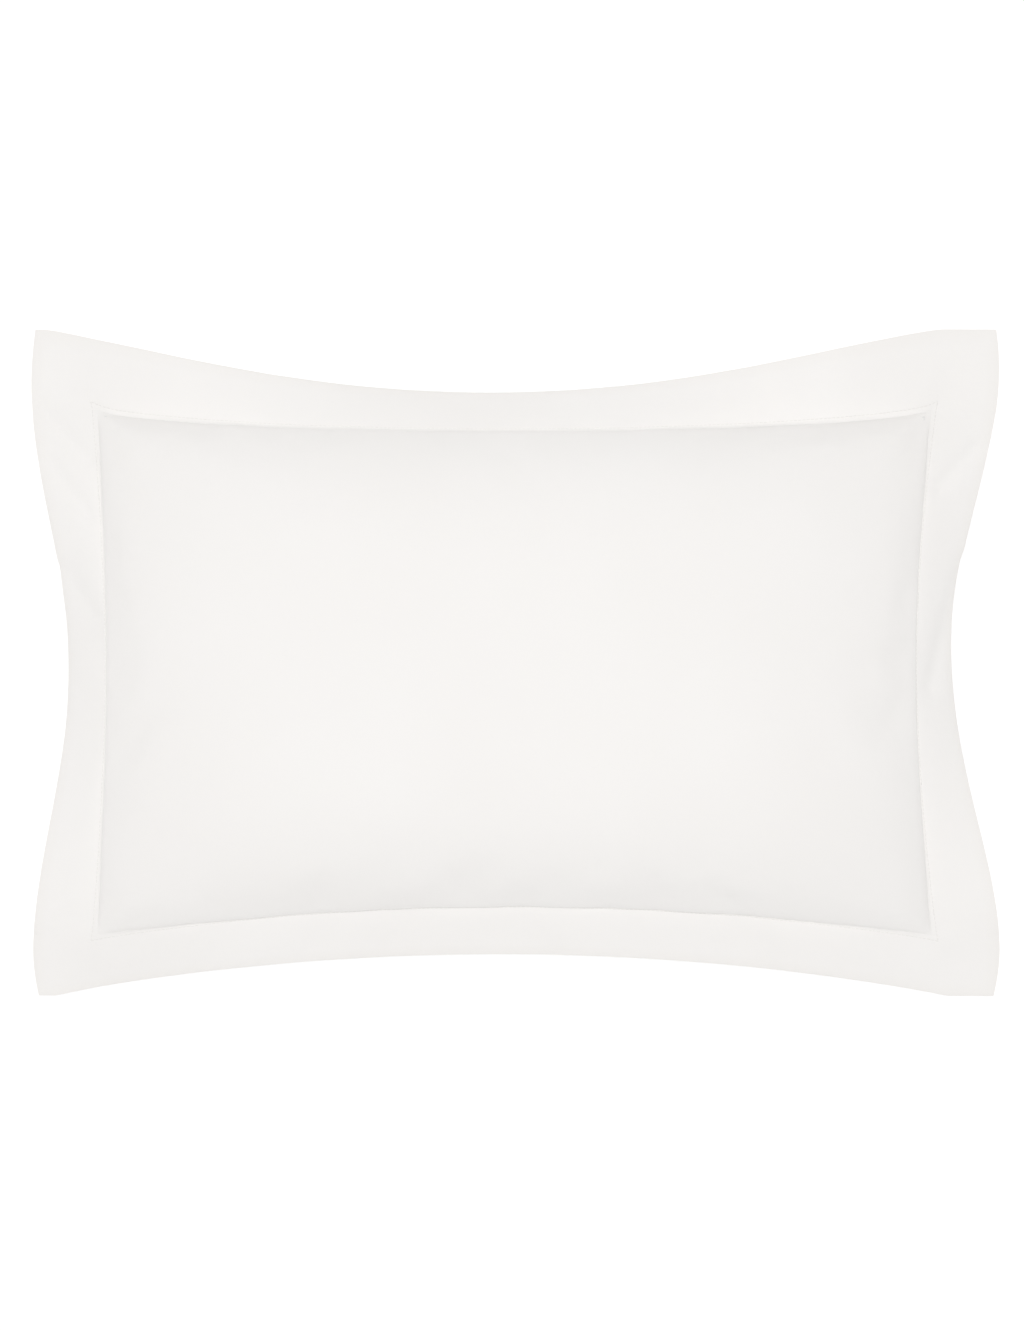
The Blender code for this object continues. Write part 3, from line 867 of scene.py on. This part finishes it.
def picked(grid, share):
    """The middle share of a grid, stretched to as many crossings as the whole."""
    count = grid.shape[:2]
    a = np.linspace(0.5 - share[0] / 2.0, 0.5 + share[0] / 2.0, count[0]) * (count[0] - 1)
    b = np.linspace(0.5 - share[1] / 2.0, 0.5 + share[1] / 2.0, count[1]) * (count[1] - 1)
    low = np.minimum(a.astype(int), count[0] - 2)
    part = (a - low)[:, None, None]
    along = grid[low] * (1.0 - part) + grid[low + 1] * part
    low = np.minimum(b.astype(int), count[1] - 2)
    part = (b - low)[None, :, None]
    return along[:, low] * (1.0 - part) + along[:, low + 1] * part


def shell_grid(front, back, share, inset, face):
    """A shell inside the pocket, closed towards its own seam."""
    border = 2 * FLANGE_CELLS
    upper, lower = picked(front[border:-border, border:-border], share), picked(back, share)
    middle, half = (upper + lower) / 2.0, (upper - lower) / 2.0
    size = np.linalg.norm(half, axis=-1, keepdims=True)
    open_along = 1.0 - np.abs(np.linspace(-1.0, 1.0, upper.shape[0])[:, None]) ** SEAM_CLOSING
    open_across = 1.0 - np.abs(np.linspace(-1.0, 1.0, upper.shape[1])[None, :]) ** SEAM_CLOSING
    closing = np.sqrt(np.clip(open_along * open_across, 0.0, 1.0))
    reach = np.clip(1.0 - inset / np.maximum(size, 1e-9), 0.0, 1.0) * closing[..., None]
    return middle + face * half * reach


def build_insert(front, back, materials):
    upper = shell_grid(front, back, INSERT_SHARE, INSERT_INSET, 1.0)
    lower = shell_grid(front, back, INSERT_SHARE, INSERT_INSET, -1.0)
    shape = upper.shape[:2]
    flat, wear = flat_places(shape), rim_wear(shape, WEAR_CELLS)
    top = panel("insert_ticking_upper", upper, flat, wear, cells(shape), False, TICKING_CLOTH, -1.0)
    register(top, materials["ticking"], "ticking_upper_panel")
    low = panel("insert_ticking_lower", lower, flat, wear, cells(shape), True, TICKING_CLOTH, -1.0)
    register(low, materials["ticking"], "ticking_lower_panel")
    seam = ring(upper, 0)
    piping = tube("insert_cord_piping", seam, PIPING_RADIUS, True)
    register(piping, materials["ticking"], "insert_piping")
    stitch = tube("insert_seam_stitch", ring(upper, INSERT_ROW_CELLS), STITCH_RADIUS, True)
    register(stitch, materials["thread"], "insert_seam_thread")
    return lower


def build_filling(front, back, materials):
    """One closed mass of fibre inside the ticking."""
    upper = shell_grid(front, back, FILLING_SHARE, FILLING_INSET, 1.0)
    lower = shell_grid(front, back, FILLING_SHARE, FILLING_INSET, -1.0)
    ids = np.arange(upper.shape[0] * upper.shape[1]).reshape(upper.shape[:2])
    under = under_ids(ids, ids.size)
    points = np.concatenate([upper.reshape(-1, 3), lower[1:-1, 1:-1].reshape(-1, 3)])
    faces = np.concatenate([grid_faces(ids, False), grid_faces(under, True)])
    mesh = bpy.data.meshes.new("insert_filling")
    mesh.from_pydata(points.tolist(), [], faces.tolist())
    mesh.polygons.foreach_set("use_smooth", np.ones(len(mesh.polygons), bool))
    thing = bpy.data.objects.new("insert_filling", mesh)
    register(thing, materials["fibre"], "fibre_filling")


def build_label(name, replaced, grid, column, row, size, materials):
    """A blank label on the inner side of a grid of the back."""
    part = grid[column:column + size[0] + 1, row:row + size[1] + 1]
    inner = part + normals(part, True) * LABEL_CLOTH
    flat = flat_places(inner.shape[:2])
    wear = rim_wear(inner.shape[:2], LABEL_WEAR_CELLS)
    thing = panel(name, inner, flat, wear, cells(inner.shape), False, LABEL_CLOTH)
    register(thing, materials["label"], replaced)


# ------------------------------------------------------------------ studio


def build_floor():
    bpy.ops.mesh.primitive_plane_add(size=FLOOR_SIZE, location=(0.0, 0.0, FLOOR_HEIGHT))
    floor = bpy.context.object
    floor.name = "studio_floor"
    material, _, shader = new_material("light_table", FLOOR_COLOUR, 0.9)
    shader.inputs["Emission Color"].default_value = (1.0, 1.0, 1.0, 1.0)
    shader.inputs["Emission Strength"].default_value = FLOOR_GLOW
    floor.data.materials.append(material)


def build_window():
    """One soft light, nearly above the middle of the pillow."""
    light = bpy.data.lights.new("window", "AREA")
    light.energy = WINDOW_POWER
    light.size = WINDOW_SIZE
    lamp = bpy.data.objects.new("window", light)
    lamp.location = WINDOW_PLACE
    lamp.rotation_euler = (-Vector(WINDOW_PLACE)).to_track_quat("-Z", "Y").to_euler()
    bpy.context.scene.collection.objects.link(lamp)


def build_surroundings():
    """Soft light from all round, brighter near the horizon."""
    world = bpy.data.worlds.new("studio")
    bpy.context.scene.world = world
    world.use_nodes = True
    tree = world.node_tree
    direction = node(tree, "ShaderNodeTexCoord").outputs["Generated"]
    parts = node(tree, "ShaderNodeSeparateXYZ")
    link(tree, direction, parts.inputs["Vector"])
    light = node(tree, "ShaderNodeMapRange")
    light.inputs["From Max"].default_value = WALL_TOP
    light.inputs["To Min"].default_value = HORIZON_LIGHT
    light.inputs["To Max"].default_value = ZENITH_LIGHT
    link(tree, parts.outputs["Z"], light.inputs["Value"])
    background = tree.nodes["Background"]
    background.inputs["Color"].default_value = (1.0, 1.0, 1.0, 1.0)
    link(tree, light.outputs["Result"], background.inputs["Strength"])


def build_studio():
    build_floor()
    build_window()
    build_surroundings()
    bpy.context.scene.view_settings.view_transform = "Standard"


def build_camera():
    camera = bpy.data.cameras.new("camera")
    camera.lens = LENS
    camera.sensor_width = SENSOR
    holder = bpy.data.objects.new("camera", camera)
    distance = PICTURE_HEIGHT * LENS / SENSOR
    holder.location = (AIM[0], AIM[1], FLANGE_PLANE + distance)
    bpy.context.scene.collection.objects.link(holder)
    bpy.context.scene.camera = holder


def main():
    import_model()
    materials = build_materials()
    front, back = build_case()
    build_front(front, materials)
    lifted, mouth = build_back(front, back, materials)
    tucked = build_flap(front, back, mouth, materials)
    build_edge_seam(front, materials)
    build_tack("tack_lower", "mouth_tack_lower", lifted, mouth, -1, materials)
    build_tack("tack_upper", "mouth_tack_upper", lifted, mouth, 1, materials)
    inside = build_insert(front, back, materials)
    build_filling(front, back, materials)
    build_label("label_case", "care_label", tucked, mouth + 1, tucked.shape[1] // 2 + CASE_LABEL_ASIDE,
                CASE_LABEL_CELLS, materials)
    build_label("label_insert", "insert_label", inside, INSERT_LABEL_IN,
                inside.shape[1] // 2 + INSERT_LABEL_ASIDE, INSERT_LABEL_CELLS, materials)
    build_studio()
    build_camera()


main()
